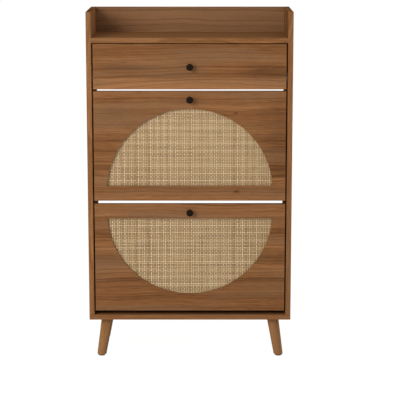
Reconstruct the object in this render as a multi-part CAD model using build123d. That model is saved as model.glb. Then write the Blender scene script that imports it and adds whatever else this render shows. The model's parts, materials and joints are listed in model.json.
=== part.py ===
from build123d import *
import os
from math import cos, radians, sin, tan

# A slim shoe cabinet: gallery tray, one drawer on roller slides, two tilt-out doors with half-moon cane
# panels, and four splayed legs. Millimetres, +Z up, the front faces -Y, the origin is on the floor at
# the middle of the overall box. "Depth" is measured back from the front edges of the side panels.

# Carcass
CARCASS_WIDTH = 600.0
CARCASS_DEPTH = 240.0
BOARD = 15.0
EDGE_BEVEL = 0.6
GALLERY_HEIGHT = 75.0
DIVIDER_RISE = 2.0  # the drawer divider's underside above the drawer front's lower edge
DIVIDER_GAP = 4.0  # from the back of the drawer front to the divider's front edge
BACK_RAIL_HEIGHT = 70.0
MID_RAIL_OVERLAP = 32.0  # the mid rail's top above the upper door's lower edge
WALL_HOLE_RADIUS = 3.0
WALL_HOLE_SPACING = 400.0
WALL_HOLE_DROP = 60.0  # below the underside of the tray

# Fronts
DOOR_HEIGHT = 324.0
DRAWER_FRONT_HEIGHT = 131.5
FRONT_SETBACK = 1.0  # the fronts' faces behind the side panels' edges
FRONT_SIDE_GAP = 4.0
DOOR_FLOOR_GAP = 13.0
DOOR_GAP = 9.5
DRAWER_DOOR_GAP = 5.5
DRAWER_TRAY_GAP = 2.5

# Half-moon cane panels
MOON_STILE = 37.5  # least wood beside the half-moon
MOON_FLAT_MARGIN = 44.0  # wood between its flat edge and the door's edge, least
MOON_ARC_MARGIN = 51.5  # wood between its arc and the door's edge, least
MOON_CHORD = 15.0  # flat edge's distance from the circle's centre
MOON_LIP = 7.5  # how deep the cane lies behind the door's face
CANE_LAP = 8.0
CANE_THICKNESS = 1.6
BACKING_THICKNESS = 5.0
REBATE_CLEARANCE = 0.5

# Knobs
KNOB_RADIUS = 10.0
KNOB_REACH = 22.0
KNOB_NECK_RADIUS = 5.0
KNOB_FLARE_START = 8.0
KNOB_RIM_START = 13.0
KNOB_BEVEL = 2.5
DOOR_KNOB_DROP = 24.0
KNOB_SCREW_RADIUS = 2.0
KNOB_SCREW_GRIP = 9.0  # thread inside the knob
KNOB_SCREW_HEAD_RADIUS = 4.0
KNOB_SCREW_HEAD = 2.4

# Legs
LEG_HEIGHT = 115.0
LEG_TOP_RADIUS = 17.5
LEG_FOOT_RADIUS = 13.5
LEG_FOOT_BEVEL = 2.0
LEG_SPLAY = 9.0  # degrees, both sideways and in depth
LEG_INSET_SIDE = 52.0  # leg top's centre from the outer face of the side panel
LEG_INSET_DEPTH = 40.0  # and from the front or back edge
GLIDE_THICKNESS = 3.0
GLIDE_RADIUS = 10.0
HANGER_BOLT_RADIUS = 4.0
HANGER_BOLT_IN_LEG = 30.0
INSERT_NUT_RADIUS = 6.5
INSERT_NUT_LENGTH = 12.0

# Turned pieces and connectors that nothing runs on are drawn with flats in place of a full round
TURNED_FLATS = 20
CONNECTOR_FLATS = 6
CAM_FLATS = 8

# Board connectors
CAM_RADIUS = 7.5
CAM_HEIGHT = 12.5
DRAWER_CAM_HEIGHT = 10.5
CAM_DISTANCE = 24.0  # cam's centre from the end of its board
CAM_SLOT_WIDTH = 2.0
CAM_SLOT_DEPTH = 2.0
CAM_BOLT_RADIUS = 3.5
CAM_BOLT_IN_FACE = 10.0  # threaded end in the neighbouring board
CAM_BOLT_IN_CAM = 4.5  # head end past the cam's rim
DOWEL_RADIUS = 4.0
DOWEL_LENGTH = 30.0
DOWEL_IN_FACE = 11.0
CONNECTOR_INSET = 45.0  # connectors from the front, back, top or bottom edge
FOOT_CAM_INSET = 80.0  # cams over the bottom panel, from the front or back edge

# Drawer box
DRAWER_WALL = 12.0
DRAWER_TOP_CLEARANCE = 22.0  # drawer walls below the underside of the tray
DRAWER_REAR_CLEARANCE = 19.0  # drawer box before the back panel
DRAWER_BOTTOM = 5.0
DRAWER_BOTTOM_RISE = 9.0
DRAWER_GROOVE = 6.0
DRAWER_BACK_INSET = 10.0
DRAWER_HOUSING = 4.0  # how deep the back is let into the sides

# Roller slides
RAIL_SPACE = 12.5  # between drawer box and side panel
RAIL_RISE = 4.0  # above the divider
RAIL_SHEET = 1.2
RAIL_HEIGHT = 22.0
RAIL_WIDTH = 10.8
RAIL_LIP = 5.0
RAIL_FRONT_CLEARANCE = 2.0  # rails behind the drawer front
RAIL_REAR_CLEARANCE = 17.0  # rails before the back panel
RUNNER_EDGE = 3.0  # drawer rail's runner from the side panel
RUNNER_FOOT = 10.0
WALL_RISE = 3.0  # drawer walls above the cabinet rail's underside
ROLLER_RADIUS = 7.75
ROLLER_WIDTH = 5.0
ROLLER_START = 3.2  # roller's outer face from the side panel
ROLLER_CLEARANCE = 0.3  # above the track and below the runner
ROLLER_END = 11.0  # roller's centre from the rail's end
AXLE_RADIUS = 2.5
AXLE_FIT = 0.05
AXLE_HEAD_RADIUS = 3.7
AXLE_HEAD = 0.9
AXLE_HEAD_GAP = 0.3

# Tilt-out hinges
OPEN_ANGLE = 55.0
PIVOT_STANDOFF = 10.0  # pivot behind the back face of the door panel
PIVOT_RISE = 38.0  # pivot above the door's lower edge
PIVOT_RADIUS = 4.0
PIVOT_FIT = 0.05
PIVOT_PLATE = 3.0
PIVOT_PLATE_HEIGHT = 52.0
PIVOT_PLATE_REACH = 26.0  # plate's rear edge behind the pivot
PIVOT_PLATE_FRONT = 7.0  # plate's front edge before the pivot
PIVOT_PLATE_CORNER = 5.0
STOP_PEG_RADIUS = 4.0
STOP_SPIGOT_RADIUS = 3.0
STOP_SPIGOT = 9.0  # sunk in the side panel
STOP_FIT = 0.3
STOP_CLOSED_ANGLE = 75.0  # peg's place in the slot with the door shut, up from straight back
STOP_MARGIN = 17.0  # peg's path below the lower shelf's underside

# Moulded flip frames and their boards
FRAME_SETBACK = 1.0  # frame's outer face inside the door's side edge
FRAME_PLATE = 3.0
FRAME_DEPTH = 12.0
FRAME_RIB = 2.2
FRAME_RIM_DEPTH = 7.0
FRAME_FOOT = 16.0  # frame's lower edge below the pivot
FRAME_FLANGE = 3.0
FRAME_FLANGE_WIDTH = 21.0
FRAME_CORNER = 5.0
FRAME_WINDOW_MARGIN = 8.0
FRAME_WINDOW_CORNER = 6.0
FRAME_BOSS_RADIUS = 8.5
GUSSET_LEG = 15.0
GUSSET_COUNT = 4
SHELF_SLOPE = 45.0  # degrees, with the door shut
SHELF_BOARD = 9.0
SHELF_DEPTH = 140.0
LIP_DEPTH = 55.0
TIER_HEADROOM = 60.0  # from the upper shelf's front end to the door's upper edge
TIER_REAR_CLEARANCE = 6.0  # between the frames and the back rails

# Heights and half widths that follow from the sizes above
BOTTOM_TOP = LEG_HEIGHT + BOARD
LOWER_DOOR_Z = BOTTOM_TOP + DOOR_FLOOR_GAP
UPPER_DOOR_Z = LOWER_DOOR_Z + DOOR_HEIGHT + DOOR_GAP
DRAWER_FRONT_Z = UPPER_DOOR_Z + DOOR_HEIGHT + DRAWER_DOOR_GAP
TRAY_Z = DRAWER_FRONT_Z + DRAWER_FRONT_HEIGHT + DRAWER_TRAY_GAP
TRAY_TOP = TRAY_Z + BOARD
TOP_Z = TRAY_TOP + GALLERY_HEIGHT
DIVIDER_Z = DRAWER_FRONT_Z + DIVIDER_RISE
MID_RAIL_TOP = UPPER_DOOR_Z + MID_RAIL_OVERLAP
INNER_HALF = CARCASS_WIDTH / 2 - BOARD
FRONT_HALF = INNER_HALF - FRONT_SIDE_GAP
BACK_INNER = CARCASS_DEPTH - BOARD
FRONT_BACK = FRONT_SETBACK + BOARD  # depth of the back faces of the fronts
KNOB_PROUD = KNOB_REACH - FRONT_SETBACK
FRONT_Y = (KNOB_PROUD - CARCASS_DEPTH) / 2

# Half-moon, the largest that keeps all its margins of wood
MOON_RADIUS = min(
    FRONT_HALF - MOON_STILE,
    DOOR_HEIGHT - MOON_FLAT_MARGIN - MOON_ARC_MARGIN + MOON_CHORD,
)

# Tilt-out geometry, as distances behind and above a door's pivot
PIVOT_DEPTH = FRONT_BACK + PIVOT_STANDOFF
FRAME_FRONT = -PIVOT_STANDOFF
RISE = radians(90.0 - SHELF_SLOPE)  # direction of the heel lips, up from straight back
LIP_OUTER = LIP_DEPTH + FRAME_RIB
WALL_OUTER = SHELF_BOARD + FRAME_RIB
TROUGH_BACK = (
    BACK_INNER - TIER_REAR_CLEARANCE - PIVOT_DEPTH - LIP_OUTER * cos(RISE) - WALL_OUTER * sin(RISE)
)
LOWER_TROUGH = (TROUGH_BACK, 0.0)
UPPER_TROUGH = (
    TROUGH_BACK,
    DOOR_HEIGHT - PIVOT_RISE - TIER_HEADROOM - SHELF_DEPTH * cos(RISE),
)
STOP_RADIUS = TROUGH_BACK * cos(RISE) - SHELF_BOARD - STOP_MARGIN
FRAME_X = FRONT_HALF - FRAME_SETBACK

# Roller slide heights
RAIL_Z = DIVIDER_Z + BOARD + RAIL_RISE
DRAWER_WALL_Z = RAIL_Z + WALL_RISE
ROLLER_Z = RAIL_Z + RAIL_SHEET + ROLLER_CLEARANCE + ROLLER_RADIUS
RUNNER_Z = ROLLER_Z + ROLLER_RADIUS + ROLLER_CLEARANCE
DRAWER_OUTER = INNER_HALF - RAIL_SPACE
DRAWER_INNER = DRAWER_OUTER - DRAWER_WALL
DRAWER_WALL_HEIGHT = TRAY_Z - DRAWER_TOP_CLEARANCE - DRAWER_WALL_Z
DRAWER_REAR = BACK_INNER - DRAWER_REAR_CLEARANCE
RAIL_START = FRONT_BACK + RAIL_FRONT_CLEARANCE
RAIL_LENGTH = BACK_INNER - RAIL_REAR_CLEARANCE - RAIL_START

ACROSS = (1, 0, 0)
BACK = (0, 1, 0)
FORWARD = (0, -1, 0)
UP = (0, 0, 1)
DOWN = (0, 0, -1)
BOTH_SIDES = (-1, 1)


def at(x, depth, z):
    """Point from its place across, its depth behind the front edge and its height."""
    return (x, FRONT_Y + depth, z)


def block(x, depth, z):
    """Plain box between two places across, two depths and two heights."""
    size = (x[1] - x[0], depth[1] - depth[0], z[1] - z[0])
    middle = at((x[0] + x[1]) / 2, (depth[0] + depth[1]) / 2, (z[0] + z[1]) / 2)
    return Pos(*middle) * Box(*size)


def board(x, depth, z):
    """Box with the small bevel that edge banding leaves."""
    piece = block(x, depth, z)
    return chamfer(piece.edges(), EDGE_BEVEL)


def rod(start, direction, length, radius, flats=0):
    """Bar from a point along a direction, round or with flats."""
    outline = RegularPolygon(radius, flats) if flats else Circle(radius)
    return extrude(Plane(origin=start, z_dir=direction) * outline, length)


def turned(profile):
    """Turned piece round Z, from the radius and height at each end of its straight stretches."""
    left = [(-radius, height) for radius, height in profile]
    right = [(radius, height) for radius, height in reversed(profile)]
    widest = max(radius for radius, height in profile)
    slab = extrude(Plane.XZ * make_face(Polyline(*left, *right, close=True)), 2 * widest, both=True)
    piece = slab
    for step in range(1, TURNED_FLATS // 2):
        piece &= Rot(0, 0, step * 360 / TURNED_FLATS) * slab
    return piece


def mirrored(piece):
    """The same piece on the other side of the cabinet."""
    return mirror(piece, about=Plane.YZ)


def group(pieces):
    """Separate solids that share one node."""
    return Compound(children=[solid for piece in pieces for solid in piece.solids()])


def cam_joint(joint, inward, cam_face, thickness, height):
    """Cam lock and bolt from a point on the joint face, with the cuts in the cam's board and in the other."""
    joint = Vector(*joint)
    inward = Vector(*inward)
    cam_face = Vector(*cam_face)
    mouth = joint + inward * CAM_DISTANCE + cam_face * (thickness / 2)
    pocket = rod(mouth, cam_face * -1, height, CAM_RADIUS, CAM_FLATS)
    bolt_length = CAM_BOLT_IN_FACE + CAM_DISTANCE - CAM_RADIUS + CAM_BOLT_IN_CAM
    bolt = rod(joint - inward * CAM_BOLT_IN_FACE, inward, bolt_length, CAM_BOLT_RADIUS, CONNECTOR_FLATS)
    slot = Plane(origin=mouth, x_dir=inward, z_dir=cam_face) * Box(
        CAM_RADIUS, CAM_SLOT_WIDTH, 2 * CAM_SLOT_DEPTH
    )
    return {"lock": pocket - slot - bolt, "bolt": bolt, "board_cut": pocket + bolt, "face_cut": bolt}


def dowel(depth, z):
    """Wood dowel between the left side panel and the end of a board."""
    start = at(-INNER_HALF - DOWEL_IN_FACE, depth, z)
    return rod(start, ACROSS, DOWEL_LENGTH, DOWEL_RADIUS, CONNECTOR_FLATS)


def side_joints():
    """Cam joints and dowels that hold the boards to the left side panel."""
    inner = -INNER_HALF
    rows = (CONNECTOR_INSET, BACK_INNER - CONNECTOR_INSET)
    middle = BOARD / 2
    foot_rows = (FOOT_CAM_INSET, CARCASS_DEPTH - FOOT_CAM_INSET)
    tray_ends = [at(inner, depth, TRAY_Z + middle) for depth in rows]
    feet = [at(inner - middle, depth, BOTTOM_TOP) for depth in foot_rows]
    cams = {
        "tray_shelf": [cam_joint(end, ACROSS, DOWN, BOARD, CAM_HEIGHT) for end in tray_ends],
        "side_panel": [cam_joint(foot, UP, ACROSS, BOARD, CAM_HEIGHT) for foot in feet],
    }
    dowel_places = {
        "drawer_divider": [(depth + DIVIDER_GAP, DIVIDER_Z + middle) for depth in rows],
        "upper_back_panel": [
            (BACK_INNER + middle, TOP_Z - CONNECTOR_INSET),
            (BACK_INNER + middle, TRAY_Z - CONNECTOR_INSET),
        ],
        "mid_back_rail": [(BACK_INNER + middle, MID_RAIL_TOP - BACK_RAIL_HEIGHT / 2)],
        "lower_back_rail": [(BACK_INNER + middle, BOTTOM_TOP + BACK_RAIL_HEIGHT / 2)],
    }
    dowels = {name: [dowel(*place) for place in places] for name, places in dowel_places.items()}
    return cams, dowels


def hinge_point(door_z, back=0.0, up=0.0, x=0.0):
    """Point given by its distance behind and above a door's pivot."""
    return at(x, PIVOT_DEPTH + back, door_z + PIVOT_RISE + up)


def stop_point(door_z, x):
    """Where the stop peg stands beside a door."""
    angle = radians(STOP_CLOSED_ANGLE)
    return hinge_point(door_z, STOP_RADIUS * cos(angle), STOP_RADIUS * sin(angle), x)


def pivot_plate(door_z):
    """Left pivot plate on the side panel, with the pin that carries the flip frame."""
    root = hinge_point(door_z, x=-INNER_HALF)
    length = PIVOT_PLATE_FRONT + PIVOT_PLATE_REACH
    middle = (PIVOT_PLATE_REACH - PIVOT_PLATE_FRONT) / 2
    outline = Pos(middle, 0) * Rectangle(length, PIVOT_PLATE_HEIGHT)
    outline = chamfer(outline.vertices(), PIVOT_PLATE_CORNER)
    plate = extrude(Plane(origin=root, x_dir=BACK, z_dir=ACROSS) * outline, PIVOT_PLATE)
    return plate + rod(root, ACROSS, INNER_HALF - FRAME_X + FRAME_DEPTH, PIVOT_RADIUS)


def stop_peg(door_z):
    """Left stop peg: its spigot is sunk in the side panel and its end stands in the frame's slot."""
    reach = INNER_HALF - FRAME_X + FRAME_PLATE
    sunk = stop_point(door_z, -INNER_HALF - STOP_SPIGOT)
    spigot = rod(sunk, ACROSS, STOP_SPIGOT, STOP_SPIGOT_RADIUS, CONNECTOR_FLATS)
    return spigot + rod(stop_point(door_z, -INNER_HALF), ACROSS, reach, STOP_PEG_RADIUS, CAM_FLATS)


def leg_places():
    """Names and signs of the four legs."""
    return {
        f"{row}_{side}_leg": (x_sign, y_sign)
        for row, y_sign in (("front", -1), ("rear", 1))
        for side, x_sign in (("left", -1), ("right", 1))
    }


def leg_top(x_sign, y_sign):
    """Centre of a leg's upper end, under the bottom panel."""
    depth = CARCASS_DEPTH / 2 + y_sign * (CARCASS_DEPTH / 2 - LEG_INSET_DEPTH)
    return at(x_sign * (CARCASS_WIDTH / 2 - LEG_INSET_SIDE), depth, LEG_HEIGHT)


def leg_set(x_sign, y_sign):
    """Turned leg cut level at both ends, its hanger bolt, insert nut and glide."""
    top = Vector(*leg_top(x_sign, y_sign))
    slant = tan(radians(LEG_SPLAY))
    fall = Vector(x_sign * slant, y_sign * slant, -1.0)
    foot = top + fall * (LEG_HEIGHT - GLIDE_THICKNESS)
    length = (foot - top).length
    spare = LEG_TOP_RADIUS  # past both ends, for the level cuts
    taper = (LEG_TOP_RADIUS - LEG_FOOT_RADIUS) / length
    profile = [
        (LEG_FOOT_RADIUS - taper * spare, -spare),
        (LEG_TOP_RADIUS + taper * spare, length + spare),
    ]
    slab = block(
        (-CARCASS_WIDTH, CARCASS_WIDTH), (-CARCASS_DEPTH, 2 * CARCASS_DEPTH), (GLIDE_THICKNESS, LEG_HEIGHT)
    )
    bolt_length = HANGER_BOLT_IN_LEG + INSERT_NUT_LENGTH
    bolt = rod(top - Vector(0, 0, HANGER_BOLT_IN_LEG), UP, bolt_length, HANGER_BOLT_RADIUS, CONNECTOR_FLATS)
    socket = rod(top, UP, INSERT_NUT_LENGTH, INSERT_NUT_RADIUS, CONNECTOR_FLATS)
    glide = rod((foot.X, foot.Y, 0), UP, GLIDE_THICKNESS, GLIDE_RADIUS, CAM_FLATS)
    leg = Plane(origin=foot, z_dir=fall * -1) * turned(profile) & slab
    leg = chamfer(leg.faces().sort_by(Axis.Z)[0].edges(), LEG_FOOT_BEVEL) - bolt
    return {"leg": leg, "bolt": bolt, "nut": socket - bolt, "socket": socket, "glide": glide}


def carcass():
    """Boards, legs, connectors, hinge plates and stop pegs that stand still."""
    cams, dowels = side_joints()
    legs = {name: leg_set(*signs) for name, signs in leg_places().items()}
    doors = (LOWER_DOOR_Z, UPPER_DOOR_Z)
    plates = [pivot_plate(door_z) for door_z in doors]
    pegs = [stop_peg(door_z) for door_z in doors]
    full = (-INNER_HALF, INNER_HALF)
    rear = (BACK_INNER, CARCASS_DEPTH)

    side = board((-CARCASS_WIDTH / 2, -INNER_HALF), (0, CARCASS_DEPTH), (BOTTOM_TOP, TOP_Z))
    for joint in cams["tray_shelf"]:
        side -= joint["face_cut"]
    for joint in cams["side_panel"]:
        side -= joint["board_cut"]
    for peg in sum(dowels.values(), []):
        side -= peg
    for peg in pegs:
        side -= peg

    bottom = board((-CARCASS_WIDTH / 2, CARCASS_WIDTH / 2), (0, CARCASS_DEPTH), (LEG_HEIGHT, BOTTOM_TOP))
    for joint in cams["side_panel"]:
        bottom = bottom - joint["face_cut"] - mirrored(joint["face_cut"])
    for leg in legs.values():
        bottom -= leg["socket"]

    tray = board(full, (0, BACK_INNER), (TRAY_Z, TRAY_TOP))
    for joint in cams["tray_shelf"]:
        tray = tray - joint["board_cut"] - mirrored(joint["board_cut"])

    boards = {
        "drawer_divider": board(
            full, (FRONT_BACK + DIVIDER_GAP, BACK_INNER), (DIVIDER_Z, DIVIDER_Z + BOARD)
        ),
        "upper_back_panel": board(full, rear, (DIVIDER_Z, TOP_Z)),
        "mid_back_rail": board(full, rear, (MID_RAIL_TOP - BACK_RAIL_HEIGHT, MID_RAIL_TOP)),
        "lower_back_rail": board(full, rear, (BOTTOM_TOP, BOTTOM_TOP + BACK_RAIL_HEIGHT)),
    }
    for name, in_end in dowels.items():
        for peg in in_end:
            boards[name] = boards[name] - peg - mirrored(peg)
    for sign in BOTH_SIDES:
        start = at(sign * WALL_HOLE_SPACING / 2, BACK_INNER, TRAY_Z - WALL_HOLE_DROP)
        boards["upper_back_panel"] -= rod(start, BACK, BOARD, WALL_HOLE_RADIUS)

    joints = cams["tray_shelf"] + cams["side_panel"]
    locks = [joint["lock"] for joint in joints]
    bolts = [joint["bolt"] for joint in joints]
    loose_dowels = sum(dowels.values(), [])
    nodes = {
        "left_side_panel": side,
        "right_side_panel": mirrored(side),
        "bottom_panel": bottom,
        "tray_shelf": tray,
        **boards,
        "cam_locks": group(locks + [mirrored(lock) for lock in locks]),
        "cam_bolts": group(bolts + [mirrored(bolt) for bolt in bolts]),
        "wood_dowels": group(loose_dowels + [mirrored(peg) for peg in loose_dowels]),
        "pivot_plates": group(plates + [mirrored(plate) for plate in plates]),
        "stop_pegs": group(pegs + [mirrored(peg) for peg in pegs]),
        "leg_hanger_bolts": group([leg["bolt"] for leg in legs.values()]),
        "leg_insert_nuts": group([leg["nut"] for leg in legs.values()]),
        "leg_glides": group([leg["glide"] for leg in legs.values()]),
    }
    nodes.update({name: leg["leg"] for name, leg in legs.items()})
    return nodes


def knob_set(z):
    """Knob on a front at a height, and the screw that holds it from behind."""
    face = Plane(origin=at(0, FRONT_SETBACK, z), x_dir=ACROSS, z_dir=FORWARD)
    profile = [
        (KNOB_NECK_RADIUS, 0.0),
        (KNOB_NECK_RADIUS, KNOB_FLARE_START),
        (KNOB_RADIUS, KNOB_RIM_START),
        (KNOB_RADIUS, KNOB_REACH - KNOB_BEVEL),
        (KNOB_RADIUS - KNOB_BEVEL, KNOB_REACH),
    ]
    knob = face * turned(profile)
    back_face = at(0, FRONT_BACK, z)
    shank = rod(back_face, FORWARD, BOARD + KNOB_SCREW_GRIP, KNOB_SCREW_RADIUS, CONNECTOR_FLATS)
    screw = shank + rod(back_face, BACK, KNOB_SCREW_HEAD, KNOB_SCREW_HEAD_RADIUS, CAM_FLATS)
    return {"knob": knob - shank, "screw": screw, "hole": shank}


def front_panel(z, height):
    """Plain front board of the drawer or a door."""
    return board((-FRONT_HALF, FRONT_HALF), (FRONT_SETBACK, FRONT_BACK), (z, z + height))


def half_moon(door_z, flat_below, grow, depth, thickness):
    """Half-moon slab behind a door's face, grown all round, with its flat edge below or above."""
    turn = 1 if flat_below else -1
    flat_z = door_z + MOON_FLAT_MARGIN if flat_below else door_z + DOOR_HEIGHT - MOON_FLAT_MARGIN
    radius = MOON_RADIUS + grow
    chord = MOON_CHORD - grow
    face = Plane(origin=at(0, depth, flat_z - turn * MOON_CHORD), x_dir=ACROSS, z_dir=FORWARD)
    keep = Pos(0, turn * (chord + radius)) * Rectangle(2 * radius, 2 * radius)
    return extrude(face * (Circle(radius) & keep), -thickness)


def tier_point(trough, along_lip, along_shelf):
    """Point of a shelf tier, measured from its trough along the heel lip and along the shelf."""
    back = trough[0] + along_lip * cos(RISE) - along_shelf * sin(RISE)
    up = trough[1] + along_lip * sin(RISE) + along_shelf * cos(RISE)
    return (back, up)


def tier_rectangle(trough, lip_range, shelf_range):
    """Rectangle square to a tier, between two distances along its lip and two along its shelf."""
    corners = [
        tier_point(trough, lip_range[0], shelf_range[0]),
        tier_point(trough, lip_range[1], shelf_range[0]),
        tier_point(trough, lip_range[1], shelf_range[1]),
        tier_point(trough, lip_range[0], shelf_range[1]),
    ]
    return make_face(Polyline(*corners, close=True))


def shelf_section(trough, grow=0.0):
    """Section of a tier's shelf board."""
    return tier_rectangle(trough, (-SHELF_BOARD - grow, grow), (-grow, SHELF_DEPTH + grow))


def lip_section(trough, grow=0.0):
    """Section of a tier's heel lip, against whose face the shelf board ends."""
    return tier_rectangle(trough, (-SHELF_BOARD - grow, LIP_DEPTH + grow), (-SHELF_BOARD - grow, grow))


def frame_outline():
    """Outer edge of a flip frame, round the lower trough, the two lips and the upper trough."""
    rib = FRAME_RIB
    top = tier_point(UPPER_TROUGH, rib, SHELF_DEPTH + rib)
    corners = [
        (FRAME_FRONT, -FRAME_FOOT),
        tier_point(LOWER_TROUGH, -WALL_OUTER, -WALL_OUTER),
        tier_point(LOWER_TROUGH, LIP_OUTER, -WALL_OUTER),
        tier_point(UPPER_TROUGH, LIP_OUTER, -WALL_OUTER),
        tier_point(UPPER_TROUGH, LIP_OUTER, rib),
        tier_point(UPPER_TROUGH, rib, rib),
        top,
        (FRAME_FRONT, top[1]),
    ]
    outline = make_face(Polyline(*corners, close=True))
    inner_corners = outline.vertices().sort_by(Axis.X)[2:]
    return chamfer(inner_corners, FRAME_CORNER)


def frame_windows():
    """Openings between the tiers and behind the pivot that lighten the moulding."""
    gap = FRAME_RIB + FRAME_WINDOW_MARGIN
    outside = -SHELF_BOARD - gap
    shelf_end = SHELF_DEPTH - FRAME_WINDOW_MARGIN
    lip_end = tier_point(LOWER_TROUGH, LIP_DEPTH - FRAME_WINDOW_MARGIN, gap)
    under_lip = (lip_end[0] - TROUGH_BACK + outside * sin(RISE)) / cos(RISE)
    between = [
        tier_point(LOWER_TROUGH, gap, gap),
        lip_end,
        tier_point(UPPER_TROUGH, under_lip, outside),
        tier_point(UPPER_TROUGH, outside, outside),
        tier_point(UPPER_TROUGH, outside, shelf_end),
        tier_point(LOWER_TROUGH, gap, shelf_end),
    ]
    low = tier_point(LOWER_TROUGH, outside, FRAME_WINDOW_MARGIN)
    high = tier_point(LOWER_TROUGH, outside, LIP_DEPTH)
    behind_pivot = [low, high, (high[0], low[1])]
    windows = [make_face(Polyline(*corners, close=True)) for corners in (between, behind_pivot)]
    return [chamfer(window.vertices(), FRAME_WINDOW_CORNER) for window in windows]


def stop_slot():
    """Curved slot that the stop peg runs in as the door tilts."""
    path = CenterArc((0, 0), STOP_RADIUS, STOP_CLOSED_ANGLE - OPEN_ANGLE, OPEN_ANGLE)
    return SlotArc(path, 2 * (STOP_PEG_RADIUS + STOP_FIT))


def flip_frame(door_z):
    """Left moulded frame: ribbed plate, pivot boss, stop slot, board sockets and a screwing flange."""
    face = Plane(origin=hinge_point(door_z, x=-FRAME_X), x_dir=BACK, z_dir=ACROSS)
    floor = face.offset(FRAME_PLATE)
    outline = frame_outline()
    sockets = Sketch()
    boards = Sketch()
    for trough in (LOWER_TROUGH, UPPER_TROUGH):
        sockets += [shelf_section(trough, FRAME_RIB), lip_section(trough, FRAME_RIB)]
        boards += [shelf_section(trough), lip_section(trough)]

    frame = extrude(face * outline, FRAME_PLATE)
    frame += extrude(face * (outline - offset(outline, -FRAME_RIB)), FRAME_RIM_DEPTH)
    frame += extrude(face * (outline & sockets), FRAME_DEPTH)
    frame += extrude(face * RegularPolygon(FRAME_BOSS_RADIUS, CAM_FLATS), FRAME_DEPTH)

    flange_top = tier_point(UPPER_TROUGH, FRAME_RIB, SHELF_DEPTH + FRAME_RIB)[1]
    flange_middle = (flange_top - FRAME_FOOT) / 2
    flange_height = flange_top + FRAME_FOOT
    flange = Pos(FRAME_FRONT + FRAME_FLANGE / 2, flange_middle) * Rectangle(FRAME_FLANGE, flange_height)
    frame += extrude(face * flange, FRAME_FLANGE_WIDTH)
    gusset = make_face(Polyline((0, 0), (GUSSET_LEG, 0), (0, GUSSET_LEG), close=True))
    pitch = flange_height / (GUSSET_COUNT + 1)
    for step in range(GUSSET_COUNT):
        height = -FRAME_FOOT + (step + 1) * pitch
        corner = hinge_point(door_z, FRAME_FRONT + FRAME_FLANGE, height, FRAME_PLATE - FRAME_X)
        frame += extrude(Plane(origin=corner) * gusset, FRAME_RIB, both=True)

    frame -= extrude(floor * boards, FRAME_DEPTH)
    frame -= extrude(face * stop_slot(), FRAME_DEPTH)
    frame -= extrude(face * Circle(PIVOT_RADIUS + PIVOT_FIT), FRAME_DEPTH)
    for window in frame_windows():
        frame -= extrude(face * window, FRAME_DEPTH)
    return frame


def tier_boards(door_z, section):
    """The two like boards of a door's tiers, which end on the floors of the frames' sockets."""
    half = FRAME_X - FRAME_PLATE
    face = Plane(origin=hinge_point(door_z, x=-half), x_dir=BACK, z_dir=ACROSS)
    return group([extrude(face * section(trough), 2 * half) for trough in (LOWER_TROUGH, UPPER_TROUGH)])


def door(name, door_z, flat_below):
    """One tilt-out door with its cane, backing, knob, flip frames and boards."""
    knob = knob_set(door_z + DOOR_HEIGHT - DOOR_KNOB_DROP)
    cane_depth = FRONT_SETBACK + MOON_LIP
    rebate = half_moon(door_z, flat_below, CANE_LAP + REBATE_CLEARANCE, cane_depth, BOARD)
    opening = half_moon(door_z, flat_below, 0.0, 0.0, BOARD)
    frame = flip_frame(door_z)
    return {
        f"{name}_door_panel": front_panel(door_z, DOOR_HEIGHT) - opening - rebate - knob["hole"],
        f"{name}_door_cane": half_moon(door_z, flat_below, CANE_LAP, cane_depth, CANE_THICKNESS),
        f"{name}_door_backing": half_moon(
            door_z, flat_below, CANE_LAP, cane_depth + CANE_THICKNESS, BACKING_THICKNESS
        ),
        f"{name}_door_knob": knob["knob"],
        f"{name}_door_knob_screw": knob["screw"],
        f"{name}_left_flip_frame": frame,
        f"{name}_right_flip_frame": mirrored(frame),
        f"{name}_door_shelves": tier_boards(door_z, shelf_section),
        f"{name}_door_heel_lips": tier_boards(door_z, lip_section),
    }


def rail_profile(points, start, length):
    """Left rail pressed from sheet, its section measured from the side panel and the rail's underside."""
    face = Plane(origin=at(-INNER_HALF, start, RAIL_Z), x_dir=ACROSS, z_dir=FORWARD)
    return extrude(face * make_face(Polyline(*points, close=True)), -length)


def cabinet_rail():
    """Left C-shaped rail on the side panel, with a lip that keeps the rear roller on its track."""
    sheet = RAIL_SHEET
    inner = RAIL_WIDTH - sheet
    upper = RAIL_HEIGHT - sheet
    points = [
        (0, 0),
        (RAIL_WIDTH, 0),
        (RAIL_WIDTH, RAIL_LIP),
        (inner, RAIL_LIP),
        (inner, sheet),
        (sheet, sheet),
        (sheet, upper),
        (RAIL_WIDTH, upper),
        (RAIL_WIDTH, RAIL_HEIGHT),
        (0, RAIL_HEIGHT),
    ]
    return rail_profile(points, RAIL_START, RAIL_LENGTH)


def drawer_rail():
    """Left rail on the drawer: a foot under the wall, a web beside it and a runner over the front roller."""
    web = RAIL_SPACE - RAIL_SHEET
    runner = RUNNER_Z - RAIL_Z
    foot = RAIL_SPACE + RUNNER_FOOT
    points = [
        (web, WALL_RISE - RAIL_SHEET),
        (foot, WALL_RISE - RAIL_SHEET),
        (foot, WALL_RISE),
        (RAIL_SPACE, WALL_RISE),
        (RAIL_SPACE, runner + RAIL_SHEET),
        (RUNNER_EDGE, runner + RAIL_SHEET),
        (RUNNER_EDGE, runner),
        (web, runner),
    ]
    return rail_profile(points, RAIL_START, RAIL_LENGTH)


def roller(depth):
    """Left roller at a depth, bored to run on its axle."""
    start = at(ROLLER_START - INNER_HALF, depth, ROLLER_Z)
    bore = rod(start, ACROSS, ROLLER_WIDTH, AXLE_RADIUS + AXLE_FIT)
    return rod(start, ACROSS, ROLLER_WIDTH, ROLLER_RADIUS) - bore


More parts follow.
